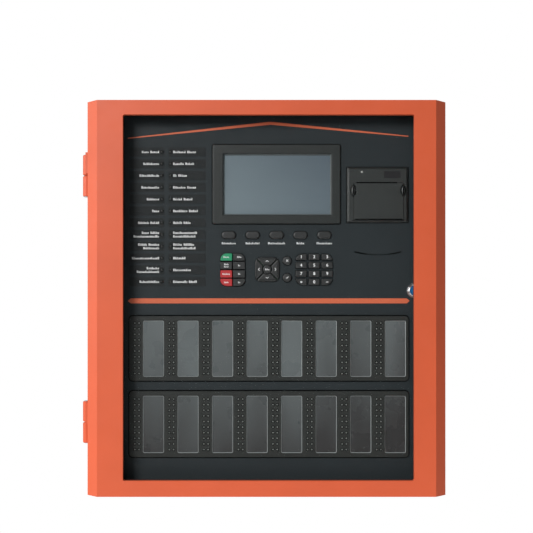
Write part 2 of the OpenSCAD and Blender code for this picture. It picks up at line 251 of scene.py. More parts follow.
def label_film():
    """Clear glossy film over dark cards, with a painted reflection: soft streaks and a painted sheen, lighter
    to the upper left and darker on the lower row, and a tone of its own for each card.
    """
    made = Finish("label_window", srgb(72, 76, 76), 0.3, specular=0.4, coat=0.4)
    lo, hi = mm("zone_label_windows")
    across = made.along("X", lo.x, lo.x + ZONE_MODULES * MODULE_PITCH)
    down = made.along("Z", hi.z, lo.z)
    column = made.math("FLOOR", made.math("MULTIPLY", across, ZONE_MODULES), 0)
    row = made.math("ROUND", down, 0)
    card = made.node("TexWhiteNoise", noise_dimensions="1D")
    made.link(made.math("ADD", column, made.math("MULTIPLY", row, ZONE_MODULES)), card.inputs["W"])
    # painted sheen: lighter to the left, and much darker on the lower row
    painted_sheen = made.math("ADD", made.math("MULTIPLY", across, 0.25), made.math("MULTIPLY", down, 0.85))
    # painted reflection: soft streaks in the film
    streaks = made.remap(made.noise(11, 1.5, (1.8, 1, 0.6)), 0.3, 0.7, -0.3, 0.08)
    varied = made.math("ADD", streaks, made.remap(card.outputs["Value"], 0, 1, -0.12, 0.22))
    shade = made.math("ADD", painted_sheen, varied)
    made.paint(made.blend(shade, srgb(100, 107, 108), srgb(52, 52, 52)))
    return made.worn(30, 0.3).grain(45, 0.04, 0.3)


def paper():
    made = Finish("thermal_paper", srgb(232, 232, 227), 0.75, specular=0.2)
    return made.mottle(60, 0.02).worn(500, 0.06).grain(1800, 0.01, 0.4)


def make_finishes():
    """One finish for each slot of the record, and a few for details of their own."""
    made = {
        "orange_paint": powder_coat("orange_paint", srgb(202, 87, 51), 0.44, 0.38),
        "black_paint": powder_coat("black_paint", srgb(34, 42, 45), 0.58, 0.28),
        "dark_plastic": moulded("dark_plastic", srgb(40, 43, 41), 0.52, specular=0.3),
        "satin_plastic": moulded("satin_plastic", srgb(41, 45, 44), 0.36, 1800, 0.012, specular=0.46),
        "printer_plastic": moulded("printer_plastic", srgb(47, 51, 50), 0.38, 1800, 0.012, specular=0.48),
        "key_dark": moulded("key_dark", srgb(44, 46, 46), 0.34, 2200, 0.015, specular=0.6),
        "key_green": moulded("key_green", srgb(44, 146, 104), 0.36, 2200, 0.015),
        "key_red": moulded("key_red", srgb(184, 52, 54), 0.36, 2200, 0.015),
        "clear_acrylic": Finish("clear_acrylic", srgb(22, 26, 28), 0.06, specular=0.5, alpha=0.05)
        .mottle(8, 0.02).worn(20, 0.2).grain(6, 0.02, 0.15),
        "display_glass": display_glass(),
        "label_window": label_film(),
        # light grey on the zone lamps: a painted highlight for each dome
        "led_lens": moulded("led_lens", srgb(116, 122, 118), 0.3, 900, 0.003, specular=0.5, coat=0.2),
        "circuit_board": circuit_board(),
        "terminal_green": moulded("terminal_green", srgb(44, 130, 70), 0.42),
        "battery_case": moulded("battery_case", srgb(62, 62, 66), 0.5),
        "zinc_steel": zinc(),
        "chrome": metal("chrome", srgb(226, 228, 230), 0.2),
        "plug_blue": moulded("plug_blue", srgb(24, 104, 156), 0.2, 900, 0.004, specular=0.9, coat=0.6),
        "black_rubber": moulded("black_rubber", srgb(30, 30, 30), 0.72, 800, 0.05, specular=0.3),
        "magnet_black": moulded("magnet_black", srgb(40, 40, 42), 0.6),
        "thermal_paper": paper(),
    }
    details = {
        "white_ink": printed("white_ink", srgb(246, 248, 248)),
        "orange_ink": printed("orange_ink", srgb(212, 107, 73)),
        "status_lens": moulded("status_lens", srgb(40, 43, 42), 0.42, 900, 0.003, specular=0.4),
        "printer_lens": moulded("printer_lens", srgb(158, 162, 158), 0.3, 900, 0.003, specular=0.5),
        "strip_film": moulded("strip_film", srgb(32, 36, 37), 0.6, 1800, 0.01, specular=0.24),
        "clear_lip": moulded("clear_lip", srgb(98, 104, 104), 0.35, 900, 0.004, specular=0.5),
        "window_lip": moulded("window_lip", srgb(150, 157, 157), 0.35, 900, 0.004, specular=0.5),
        "gold": metal("gold", srgb(205, 168, 92), 0.3),
        "aluminium": metal("aluminium", srgb(198, 200, 203), 0.32, brushed=(1, 1, 0.1)),
        "white_plastic": moulded("white_plastic", srgb(214, 212, 202), 0.45),
        "relay_plastic": moulded("relay_plastic", srgb(44, 78, 148), 0.35),
        "chip_black": moulded("chip_black", srgb(34, 35, 37), 0.5, 2600, 0.01),
        "terminal_red": moulded("terminal_red", srgb(168, 30, 28), 0.4, 500, 0.01),
        "plate_black": moulded("plate_black", srgb(28, 28, 30), 0.4, 500, 0.01),
        # dark sheets that paint the shade of gaps, slots, holes and recesses
        "painted_shade_dark": moulded("painted_shade_dark", srgb(8, 9, 9), 0.9, specular=0.05),
    }
    return {name: finish.material for name, finish in {**made, **details}.items()}


FINISH = make_finishes()


# ---------- outlines ----------


def rounded(x0, x1, z0, z1, radius, steps=6):
    """A rectangle with rounded corners."""
    corners = ((x1 - radius, z1 - radius), (x0 + radius, z1 - radius), (x0 + radius, z0 + radius),
               (x1 - radius, z0 + radius))
    turns = [(corner, math.radians(90 * (quarter + i / steps)))
             for quarter, corner in enumerate(corners) for i in range(steps + 1)]
    return [(x + radius * math.cos(a), z + radius * math.sin(a)) for (x, z), a in turns]


def circle(x, z, radius, steps=32):
    turns = [math.tau * i / steps for i in range(steps)]
    return [(x + radius * math.cos(a), z + radius * math.sin(a)) for a in turns]


def lens(x, z, radius, offset, steps=8):
    """An upright lens: where two circles cross, their centres an offset to either side."""
    reach = math.acos(offset / radius)
    sides = ((x - offset, 0), (x + offset, math.pi))
    turns = [(centre, middle + reach * (2 * i / steps - 1)) for centre, middle in sides for i in range(steps)]
    return [(centre + radius * math.cos(a), z + radius * math.sin(a)) for centre, a in turns]


def inset(outline, distance):
    """The outline moved inwards by a distance."""
    moved = []
    for before, here, after in zip(outline[-1:] + outline[:-1], outline, outline[1:] + outline[:1]):
        normals = []
        for (ax, az), (bx, bz) in ((before, here), (here, after)):
            length = math.hypot(bx - ax, bz - az) or 1
            normals.append(((az - bz) / length, (bx - ax) / length))
        (nx, nz), (mx, mz) = normals
        share = distance / max(0.2, 1 + nx * mx + nz * mz)
        moved.append((here[0] + (nx + mx) * share, here[1] + (nz + mz) * share))
    return moved


def front_outline(node):
    """The outline of the front face of a CAD node, taken from its mesh."""
    mesh = bmesh.new()
    mesh.from_mesh(NODES[node].data)
    bmesh.ops.remove_doubles(mesh, verts=mesh.verts, dist=1e-6)
    mesh.faces.index_update()
    front = min(v.co.y for v in mesh.verts)
    faces = [f for f in mesh.faces if all(v.co.y < front + 1e-5 for v in f.verts)]
    is_front = {f.index for f in faces}
    following = {}
    for face in faces:
        for corner in face.loops:
            if sum(other.index in is_front for other in corner.edge.link_faces) == 1:
                following[corner.vert] = corner.link_loop_next.vert
    path = [next(iter(following))]
    while following[path[-1]] is not path[0]:
        path.append(following[path[-1]])
    outline = [(v.co.x / MM, v.co.z / MM) for v in path]
    mesh.free()
    return outline


# ---------- meshes ----------


class Shape:
    """Solids gathered into one mesh. place moves what is drawn, from local to panel coordinates."""

    def __init__(self, place=None):
        self.mesh = bmesh.new()
        self.place = place or Matrix.Identity(4)

    def loft(self, rings, ends=True):
        """Skins rings of equal length, and closes the two ends or joins the last ring to the first."""
        loops = [[self.mesh.verts.new(self.place @ Vector(p)) for p in ring] for ring in rings]
        pairs = list(zip(loops, loops[1:])) + ([] if ends else [(loops[-1], loops[0])])
        for low, high in pairs:
            for i in range(len(low)):
                j = (i + 1) % len(low)
                self.mesh.faces.new((low[i], low[j], high[j], high[i]))
        if ends:
            self.mesh.faces.new(list(reversed(loops[0])))
            self.mesh.faces.new(loops[-1])
        return self

    def plate(self, outline, back, front, edge=0.0, steps=3):
        """A slab that rises from back to front, its front edge rounded."""
        rings = [level(outline, back)]
        for i in range(steps + 1 if edge else 1):
            a = math.radians(90 * i / steps)
            rise = edge * (1 - math.sin(a)) * (1 if back > front else -1)
            rings.append(level(inset(outline, edge * (1 - math.cos(a))), front + rise))
        return self.loft(rings)

    def block(self, x0, x1, z0, z1, back, front, edge=0.2):
        return self.plate(rounded(x0, x1, z0, z1, max(edge, 0.05), 2), back, front, edge, 2)

    def hoop(self, outer, inner, back, front):
        """A flat ring between two outlines with the same number of points."""
        return self.loft([level(outer, back), level(outer, front), level(inner, front), level(inner, back)],
                         ends=False)

    def gap(self, outline, near, far, front):
        """A dark line round an outline, from near to far outside it: a painted shadow."""
        return self.hoop(inset(outline, -far), inset(outline, -near), front + 0.02, front - 0.05)

    def slope(self, outline, front, back, width):
        """The edge of an opening, sloping inwards from its rim down to its floor."""
        return self.loft([level(outline, front), level(inset(outline, width), back), level(outline, back)],
                         ends=False)

    def turned(self, x, z, profile, steps=24):
        """A solid of revolution about an axis along Y; profile holds (radius, y)."""
        return self.loft([level(circle(x, z, radius, steps), y) for radius, y in profile])

    def dome(self, x, z, base, radius, height, steps=12, rise=4):
        """A lens that swells towards -Y."""
        turns = [math.radians(88 * i / rise) for i in range(rise + 1)]
        return self.turned(x, z, [(radius * math.cos(a), base - height * math.sin(a)) for a in turns], steps)

    def screw(self, x, z, base, radius=3.0, rise=-1):
        """A button-head screw with a socket, rising along -Y or +Y."""
        profile = ((1, 0), (1, 0.35), (0.86, 0.52), (0.6, 0.62), (0.42, 0.62), (0.36, 0.2), (0.02, 0.16))
        return self.turned(x, z, [(radius * r, base + rise * radius * h) for r, h in profile], 18)

    def stroke(self, points, width, front):
        """A flat printed line along points."""
        left, right = [], []
        for i, (x, z) in enumerate(points):
            (ax, az), (bx, bz) = points[max(i - 1, 0)], points[min(i + 1, len(points) - 1)]
            length = math.hypot(bx - ax, bz - az)
            nx, nz = (az - bz) / length * width / 2, (bx - ax) / length * width / 2
            left.append((x + nx, z + nz))
            right.append((x - nx, z - nz))
        return self.plate(right + left[::-1], front + PRINT, front)

    def piece(self, name, finish, body, slot, replaces=(), angle=38):
        """Ends the mesh as a named piece that rides on a body."""
        bmesh.ops.recalc_face_normals(self.mesh, faces=self.mesh.faces)
        data = bpy.data.meshes.new(name)
        self.mesh.transform(Matrix.Scale(MM, 4))
        self.mesh.to_mesh(data)
        self.mesh.free()
        return settle(name, data, finish, body, replaces, angle)


def settle(name, data, finish, body, replaces=(), angle=38):
    data.materials.clear()
    data.materials.append(FINISH[finish])
    data.shade_smooth()
    data.set_sharp_from_angle(angle=math.radians(angle))
    made = bpy.data.objects.new(name, data)
    bpy.context.scene.collection.objects.link(made)
    weighted = made.modifiers.new("weighted", "WEIGHTED_NORMAL")
    weighted.keep_sharp = True
    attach(made, body)
    if replaces:
        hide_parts(*replaces)
    return made


def level(outline, y):
    return [Vector((x, y, z)) for x, z in outline]


def facing_back(y):
    """Turns what is drawn about Z, so that it rises towards +Y from a surface at y."""
    return Matrix.Translation((0, y, 0)) @ Matrix.Rotation(math.pi, 4, "Z")


def facing_front(y):
    return Matrix.Translation((0, y, 0))


# ---------- printed marks ----------


def words(shape, counts, x, z, pitch, cap, front, align=-1):
    """A row of plain upright marks in place of lettering, one group for each word.

    align is -1 to start at x, 0 to centre on it and 1 to end there."""
    gap = 0.8
    width = (sum(counts) + gap * (len(counts) - 1)) * pitch
    left = x - width * (align + 1) / 2
    for count in counts:
        for i in range(count):
            for place in (0.24, 0.7):
                tall = cap if i == 0 or rng.random() < 0.2 else cap * rng.uniform(0.55, 0.76)
                at, half, foot = left + (i + place) * pitch, pitch * rng.uniform(0.11, 0.17), z - cap / 2
                start, end, head = at - half, at + half, foot + tall
                shape.plate([(start, foot), (end, foot), (end, head), (start, head)], front + PRINT, front)
        left += (count + gap) * pitch


def figure(name, text, x, z, size, front, body):
    """A number from Blender's own typeface, made a little bolder, as a printed piece."""
    curve = bpy.data.curves.new(name, "FONT")
    curve.body = text
    curve.size = size * MM
    curve.align_x, curve.align_y = "CENTER", "CENTER"
    curve.extrude = PRINT * MM / 2
    curve.offset = 0.11 * MM
    holder = bpy.data.objects.new(name, curve)
    bpy.context.scene.collection.objects.link(holder)
    data = bpy.data.meshes.new_from_object(holder)
    bpy.data.objects.remove(holder)
    place = Matrix.Translation(Vector((x, front, z)) * MM) @ Matrix.Rotation(math.radians(90), 4, "X")
    data.transform(place)
    return settle(name, data, "white_ink", body)


# ---------- finish of the CAD nodes ----------

EDGES = {
    "cabinet": 0.6, "cabinet_hinge_leaves": 0.5, "door_frame": 0.9, "door_hinge_leaves": 0.5,
    "door_window": 0.3,
    "inner_panel": 0.35, "lcd_bezel": 1.2, "zone_plates": 0.35, "printer_housing": 0.35, "printer_door": 0.5,
    "power_supply": 0.4, "batteries": 1.2, "terminal_blocks": 0.4, "cable_grommets": 0.4,
    "door_catches": 0.5,
    "inner_hinge_brackets": 0.3, "board_standoffs": 0.2, "printer_platen": 0.2, "paper_roll": 0.25,
    "buzzer": 0.6, "lock_plug": 0.3, "main_board": 0.2, "panel_boards": 0.2, "lcd_screen": 0.15,
    "zone_label_windows": 0.15,
}


FINISH_OF = {**SLOT_OF, "lcd_bezel": "satin_plastic", "printer_housing": "printer_plastic",
             "printer_door": "printer_plastic"}


def dress_frame():
    """Gives every CAD node its finish, and eases the edges of the nodes listed in EDGES."""
    for name, node in NODES.items():
        for place in node.material_slots:
            place.material = FINISH[FINISH_OF[name]]
        if name not in EDGES:
            continue
        weld = node.modifiers.new("weld", "WELD")
        weld.merge_threshold = 1e-6
        flat = node.modifiers.new("flat", "DECIMATE")
        flat.decimate_type = "DISSOLVE"
        flat.angle_limit = math.radians(0.5)
        ease = node.modifiers.new("ease", "BEVEL")
        ease.width = EDGES[name] * MM
        ease.segments = 3
        ease.limit_method = "ANGLE"
        ease.angle_limit = math.radians(35)
        node.modifiers.new("weighted", "WEIGHTED_NORMAL")


# ---------- keys ----------

KEY_EDGE = {"soft": 1.9, "arrow": 1.1, "enter": 1.4, "cancel": 1.8, "confirm": 1.8}
BLOCK_KEY_EDGE = 0.75


def key_cap(name):
    """A moulded key with rounded edges and the rim that holds it behind the panel."""
    lo, hi = mm(name)
    outline = front_outline(name)
    edge = KEY_EDGE.get(name.split("_")[0], BLOCK_KEY_EDGE)
    rim = inset(outline, -0.3 if name.startswith("arrow") else -0.5)
    rings = [level(rim, hi.y), level(rim, hi.y - 0.9), level(outline, hi.y - 0.9)]
    for i in range(6):
        a = math.radians(90 * i / 5)
        rings.append(level(inset(outline, edge * (1 - math.cos(a))), lo.y + edge * 0.8 * (1 - math.sin(a))))
    Shape().loft(rings).piece(name + "_cap", SLOT_OF[name], BODY_OF[name], SLOT_OF[name], [name])


def chevron(name, quarter):
    """An arrow mark on one of the four arrow keys."""
    front = mm(name)[0].y
    centre = (mm("enter_key")[0] + mm("enter_key")[1]) / 2
    mark = Shape()
    a = math.radians(90 - 90 * quarter)
    ahead, side = Vector((math.cos(a), math.sin(a))), Vector((-math.sin(a), math.cos(a)))
    tip = Vector((centre.x, centre.z)) + ahead * 11.8
    mark.stroke([tuple(tip + side * s * 1.9 - ahead * abs(s) * 1.5) for s in (-1, 0, 1)], 0.75, front - PRINT)
    mark.piece(name + "_mark", "white_ink", BODY_OF[name], "key_dark")


FUNCTION_WORDS = [[(5,)], [(4,)], [(4,), (4,)], [(2,)], [(7,)], [(2,)], [(4,)], [(2,)]]


def key_marks():
    for i, rows in enumerate(FUNCTION_WORDS):
        name = f"function_key_{i + 1}"
        lo, hi = mm(name)
        mark = Shape()
        for k, counts in enumerate(rows):
            row_z = (lo.z + hi.z) / 2 + (len(rows) - 1) * 1.6 - 3.2 * k
            words(mark, counts, (lo.x + hi.x) / 2, row_z, 1.5, 2.2, lo.y - PRINT, 0)
        mark.piece(name + "_mark", "white_ink", BODY_OF[name], "key_dark")
    for i in range(10):
        name = f"digit_key_{i}"
        lo, hi = mm(name)
        x, z = (lo.x + hi.x) / 2, (lo.z + hi.z) / 2
        figure(name + "_mark", str(i), x, z, 5.6, lo.y - PRINT / 2, BODY_OF[name])
    for quarter, name in enumerate(("arrow_key_up", "arrow_key_right", "arrow_key_down", "arrow_key_left")):
        chevron(name, quarter)
    lo, hi = mm("enter_key")
    mark = Shape()
    words(mark, (3,), (lo.x + hi.x) / 2, (lo.z + hi.z) / 2, 1.9, 2.4, lo.y - PRINT, 0)
    mark.piece("enter_key_mark", "white_ink", "enter_key_body", "key_dark")
    star = [[(-1.4 * math.cos(a), -1.4 * math.sin(a)), (1.4 * math.cos(a), 1.4 * math.sin(a))]
            for a in (math.radians(30 + 60 * i) for i in range(3))]
    lines = {"cancel_key": [[(-1.3, -1.3), (1.3, 1.3)], [(-1.3, 1.3), (1.3, -1.3)]],
             "confirm_key": [[(-1.6, 0.1), (-0.4, -1.1), (1.6, 1.4)]],
             "star_key": star, "dash_key": [[(-1.5, 0), (1.5, 0)]]}
    for name, strokes in lines.items():
        lo, hi = mm(name)
        middle_x, middle_z = (lo.x + hi.x) / 2, (lo.z + hi.z) / 2
        mark = Shape()
        for points in strokes:
            mark.stroke([(x + middle_x, z + middle_z) for x, z in points], 0.7, lo.y - PRINT)
        mark.piece(name + "_mark", "white_ink", BODY_OF[name], "key_dark")


# ---------- front of the control panel ----------

STATUS_TOP, STATUS_PITCH, STATUS_ROWS, STATUS_X = 196.6, 15.8, 12, (-140, -128.3)
LEFT_WORDS = [[(4, 5)], [(9,)], [(11,)], [(10,)], [(7,)], [(4,)], [(6, 5)], [(4, 5), (16,)], [(5, 6), (9,)],
              [(17,)], [(7,), (14,)], [(11,)]]
RIGHT_WORDS = [[(7, 5)], [(6, 5)], [(2, 5)], [(7, 5)], [(5, 5)], [(8, 5)], [(5, 4)], [(15,), (14,)],
               [(5, 6), (14,)], [(7,)], [(10,)], [(9, 5)]]
SOFT_WORDS = [(9,), (9,), (11,), (5,), (10,)]


def fascia_print():
    """The orange lines and white marks printed on the panel, and the strips behind the status marks."""
    front = FASCIA - PRINT
    lines = Shape()
    left, apex, right, thin, thick = (-185.7, 215.0), (5.2, 235.2), (190.0, 217.7), 0.65, 2.0
    lines.plate([(left[0], left[1] - thin), (apex[0], apex[1] - thick), (right[0], right[1] - thin),
                 (right[0], right[1] + thin), (apex[0] + 3, apex[1] + thick - 0.3),
                 (apex[0] - 3, apex[1] + thick - 0.3), (left[0], left[1] + thin)], FASCIA, front)
    x0, x1, z0, z1, point = -185.7, 191.8, -6.2, 0.5, 4.0
    lines.plate([(x0, (z0 + z1) / 2), (x0 + point, z0), (x1 - point, z0), (x1, (z0 + z1) / 2),
                 (x1 - point, z1), (x0 + point, z1)], FASCIA, front)
    lines.piece("fascia_lines", "orange_ink", "control_panel", "orange_paint")
    strips, marks = Shape(), Shape()
    strip_front = FASCIA - 0.4
    leading = 4.8
    for row in range(STATUS_ROWS):
        z = STATUS_TOP - row * STATUS_PITCH
        for x0, x1 in ((-183.8, -136.9), (-131.5, -81.3)):
            strips.plate(rounded(x0, x1, z - 6.15, z + 6.15, 2), FASCIA, strip_front, 0.15, 2)
        for counts, x, align in ((LEFT_WORDS[row], -143.7, 1), (RIGHT_WORDS[row], -125.1, -1)):
            for k, line in enumerate(counts):
                pitch = 2.4 if sum(line) < 14 else 2.15
                row_z = z + (len(counts) - 1) * leading / 2 - leading * k
                words(marks, line, x, row_z, pitch, 3.2, strip_front - PRINT, align)
    strips.piece("status_strips", "strip_film", "control_panel", "black_paint")
    for i, counts in enumerate(SOFT_WORDS):
        lo, hi = mm(f"soft_key_{i + 1}")
        words(marks, counts, (lo.x + hi.x) / 2, 74.4, 2.1, 2.8, front - PRINT, 0)
    marks.piece("fascia_marks", "white_ink", "control_panel", "black_paint")


ZONE_ROWS, ZONE_PITCH, ZONE_FIRST, ZONE_LAMP_X = 10, 7.5, (-32.6, -134.2), (-176.1, -170.4)
WINDOW_X, WINDOW_Z, WINDOW_CORNER = (-165.2, -137.2), ((-104.2, -29.4), (-206.2, -129.9)), 2.0
PRINTER_LAMP = (127.5, 169.3)
GRIP_Z, GRIP_RADIUS, GRIP_OFFSET = 144.4, 10.9, 6.7
# The cover's edge to the opening behind it: the floor of a grip's well ends there, clear of the platen arms
PAPER_BAY_INSET = 1.9


def shadow_gaps():
    """Dark lines where the bezel, the printer, the zone plates and the keys meet the panel: painted shadow of
    the gaps round them.
    """
    gaps = Shape()
    for node, radius in (("lcd_bezel", 2.0), ("printer_housing", 0.3)):
        lo, hi = mm(node)
        gaps.gap(rounded(lo.x, hi.x, lo.z, hi.z, radius), -0.2, 1.1, FASCIA)
    lo, hi = mm("zone_plates")
    upper_plate_foot, lower_plate_head = -109.6, -123.8
    for z0, z1 in ((upper_plate_foot, hi.z), (lo.z, lower_plate_head)):
        gaps.gap(rounded(lo.x, hi.x, z0, z1, 4.7), -0.2, 1.7, FASCIA)
    arrows = [front_outline(f"arrow_key_{side}") for side in ("left", "right", "up", "down")]
    xs, zs = [x for outline in arrows for x, _ in outline], [z for outline in arrows for _, z in outline]
    gaps.gap(rounded(min(xs), max(xs), min(zs), max(zs), 7), 0.25, 0.75, FASCIA)
    for name in KEYS:
        if not name.startswith(("arrow", "enter")):
            gaps.gap(front_outline(name), 0.22, 0.78, FASCIA)
    gaps.piece("shadow_gaps", "painted_shade_dark", "control_panel", "black_paint")


SOUND_X, SOUND_Z, SOUND_RADIUS = 149.2, 58.8, 121.0
SOUND_HOLES, SOUND_GROOVE = (2.6, 5.9, 9.2, 12.5), (14.7, 31.4)


def sound_slot():
    """Dark discs in the arc of sound holes, for the buzzer's cloth behind and painted shade in the holes, and
    dark strips of painted shade in the grooves that carry the arc on.
    """
    dark = Shape()

    def on_arc(x):
        return SOUND_Z + SOUND_RADIUS - math.sqrt(SOUND_RADIUS ** 2 - x ** 2)

    for side in (-1, 1):
        for x in SOUND_HOLES:
            dark.plate(circle(SOUND_X + side * x, on_arc(x), 0.98, 16), FASCIA + 1.2, FASCIA + 0.1)
        start, end = SOUND_GROOVE
        steps = [side * (start + (end - start) * i / 6) for i in range(7)]
        # painted shade in the groove
        dark.stroke([(SOUND_X + x, on_arc(x)) for x in steps], 1.9, FASCIA + 0.04)
    dark.piece("sound_slot_cloth_and_shade", "painted_shade_dark", "control_panel", "black_paint")


def lamps():
    """Domed lenses: the status lights, the printer's light and the zone lights. The zone lenses are light
    grey, a painted highlight, and the status and zone lenses sit on dark rings of painted shade.
    """
    status, zone, rings = Shape(), Shape(), Shape()
    profile = ((1.8, 0), (1.8, 0.5), (1.5, 0.55), (1.4, 0.9), (0.9, 1.3), (0.1, 1.45))
    for x in STATUS_X:
        for row in range(STATUS_ROWS):
            z = STATUS_TOP - row * STATUS_PITCH
            status.turned(x, z, [(radius, FASCIA - rise) for radius, rise in profile], 16)
            rings.plate(circle(x, z, 2.5, 16), FASCIA - 0.3, FASCIA - 0.45)
    plate = mm("printer_housing")[0].y
    printer = Shape().dome(*PRINTER_LAMP, plate, 1.6, 0.9, 16)
    printer.piece("printer_lens", "printer_lens", "control_panel", "led_lens")
    status.piece("status_lenses", "status_lens", "control_panel", "led_lens", ["status_leds"])
    front = mm("zone_plates")[0].y
    for first in ZONE_FIRST:
        for module in range(ZONE_MODULES):
            for x in ZONE_LAMP_X:
                for row in range(ZONE_ROWS):
                    at = (x + module * MODULE_PITCH, first - row * ZONE_PITCH)
                    # the lens colour is a painted highlight
                    zone.dome(*at, front, 1.1, 0.8, 12, 4)
                    # dark ring round each lamp: painted shade of its hole
                    rings.plate(circle(*at, 2.1, 12), front + 0.02, front - 0.05)
    rings.piece("lamp_shade_rings", "painted_shade_dark", "control_panel", "led_lens")
    zone.piece("zone_lenses", "led_lens", "control_panel", "led_lens", ["zone_leds"])


def window_lips():
    """Sloped clear edges round the display and round each label window."""
    lo, hi = mm("lcd_screen")
    bezel_front = mm("lcd_bezel")[0].y
    opening = rounded(lo.x + 2.2, hi.x - 2.2, lo.z + 2.2, hi.z - 2.2, 0.4, 2)
    Shape().slope(opening, bezel_front + 0.2, lo.y - 0.02, 1.5).piece(
        "display_edge", "clear_lip", "control_panel", "dark_plastic", angle=20)
    lips = Shape()
    front, film = mm("zone_plates")[0].y, mm("zone_label_windows")[0].y
    for z0, z1 in WINDOW_Z:
        for module in range(ZONE_MODULES):
            x0, x1 = (x + module * MODULE_PITCH for x in WINDOW_X)
            lips.slope(rounded(x0, x1, z0, z1, WINDOW_CORNER, 3), front + 0.02, film - 0.02, 0.6)
    lips.piece("window_lips", "window_lip", "control_panel", "label_window", angle=20)


def printer_details():
    """The blank name plate, the slot over the cover, its dark lower edge and its two finger grips. The slot,
    the lower edge and the floors of the grips' wells are dark sheets of painted shade.
    """
    plate = mm("printer_housing")[0].y
    Shape().plate(rounded(157.2, 179.4, 161.2, 170.6, 0.4), plate + 0.6, plate + 0.4, 0.1, 2).piece(
        "printer_blank_plate", "plate_black", "control_panel", "dark_plastic")
    lo, hi = mm("printer_door")
    slot = Shape()
    # painted shade in the paper slot
    slot.plate(rounded(lo.x + 3.6, hi.x - 8, hi.z + 0.1, hi.z + 1.9, 0.6), plate + 1, plate - 0.05)
    slot.piece("printer_slot_shade", "painted_shade_dark", "control_panel", "dark_plastic")
    # painted shade of the gap under the cover
    lower_gap_shade = rounded(lo.x + 1.4, hi.x - 1.4, lo.z + 0.25, lo.z + 1.75, 0.6)
    Shape().plate(lower_gap_shade, lo.y + 0.9, lo.y - 0.04).piece(
        "printer_cover_gap_shade", "painted_shade_dark", "printer_cover", "dark_plastic")
    grips, wells = Shape(), Shape()
    swell = ((0.75, 2.3), (0.75, 0.4), (1.1, -0.6), (1.7, -1.4), (2.5, -1.9), (3.4, -2.1))
    bay_left, bay_right = lo.x + PAPER_BAY_INSET, hi.x - PAPER_BAY_INSET
    for x, trim in ((lo.x - 0.4, lambda at: min(at, bay_left)), (hi.x + 0.1, lambda at: max(at, bay_right))):
        outline = lens(x, GRIP_Z, GRIP_RADIUS, GRIP_OFFSET)
        grips.loft([level(inset(outline, step), plate + y) for step, y in swell])
        floor = [(trim(at), z) for at, z in inset(outline, 0.03)]
        # painted shade on the floor of the grip's well
        wells.plate(floor, plate + 2.49, plate + 2.35)
    grips.piece("printer_grips", "printer_plastic", "printer_cover", "dark_plastic", angle=55)
    wells.piece("printer_grip_well_shade", "painted_shade_dark", "control_panel", "dark_plastic")


def lock():
    """Chrome lock ring, threaded barrel and nut."""
    lo, hi = mm("lock_body")
    x, z = (lo.x + hi.x) / 2, (lo.z + hi.z) / 2
    ring = Shape()
    bore, thread, pitch = 6.75, 8.1, 0.5
    rings = [(10.9, FASCIA), (10.9, FASCIA - 1.4), (10.5, FASCIA - 1.9), (8.2, FASCIA - 4.6),
             (7.7, FASCIA - 4.9), (7.3, FASCIA - 4.6), (bore, FASCIA - 4.0), (bore, hi.y), (thread, hi.y)]
    turns = range(1, int((hi.y - FASCIA - 1) / pitch))
    rings += [(thread + 0.45 * (i % 2), hi.y - pitch * i) for i in turns]
    rings += [(thread, FASCIA)]
    ring.loft([level(circle(x, z, radius, 40), y) for radius, y in rings], ends=False)
    nut = [level(circle(x, z, radius, 6), y) for radius, y in
           ((12, FASCIA + 1.6), (12, FASCIA + 5.2), (8.2, FASCIA + 5.2), (8.2, FASCIA + 1.6))]
    ring.loft(nut, ends=False)
    ring.piece("lock_ring", "chrome", "control_panel", "chrome", ["lock_body"])


# ---------- door and inside ----------


def door_details():
    """Strips that hold the pane, their screws, and the window's rubber edge."""
    lo, hi = mm("door_window")
    lap = 12.0
    left, right, low, high = lo.x + lap, hi.x - lap, lo.z + lap, hi.z - lap
    strips, screws, rubber = Shape(), Shape(), Shape()
    back = hi.y
    outer = rounded(lo.x + 0.6, hi.x - 0.6, lo.z + 0.6, hi.z - 0.6, 3)
    inner = rounded(left - 3.5, right + 3.5, low - 3.5, high + 3.5, 1)
    strips.hoop(outer, inner, back, back + 1.4)
    strips.piece("pane_retainer", "zinc_steel", "door", "zinc_steel")
    for i in range(5):
        for x in (lo.x + 4.4, hi.x - 4.4):
            screws.screw(x, lo.z + 20 + (hi.z - lo.z - 40) * i / 4, back + 1.4, 2.1, 1)
        for z in (lo.z + 4.4, hi.z - 4.4):
            screws.screw(lo.x + 45 + (hi.x - lo.x - 90) * i / 4, z, back + 1.4, 2.1, 1)
    screws.piece("pane_screws", "zinc_steel", "door", "zinc_steel")
    rubber.hoop(rounded(left - 1.4, right + 1.4, low - 1.4, high + 1.4, 3),
                rounded(left + 0.5, right - 0.5, low + 0.5, high - 0.5, 2.2), lo.y - 0.02, lo.y - 0.9)
    rubber.piece("pane_seal", "black_rubber", "door", "black_rubber")


def cabinet_seal():
    """The foam strip on the rear box that the door closes on."""
    lo, hi = mm("cabinet")
    sealed = Shape()
    sealed.hoop(rounded(lo.x + 0.4, hi.x - 0.4, lo.z + 0.4, hi.z - 0.4, 1),
                rounded(lo.x + 2.7, hi.x - 2.7, lo.z + 2.7, hi.z - 2.7, 1), lo.y, lo.y - 1.6)
    sealed.piece("cabinet_seal", "black_rubber", "cabinet", "black_rubber")


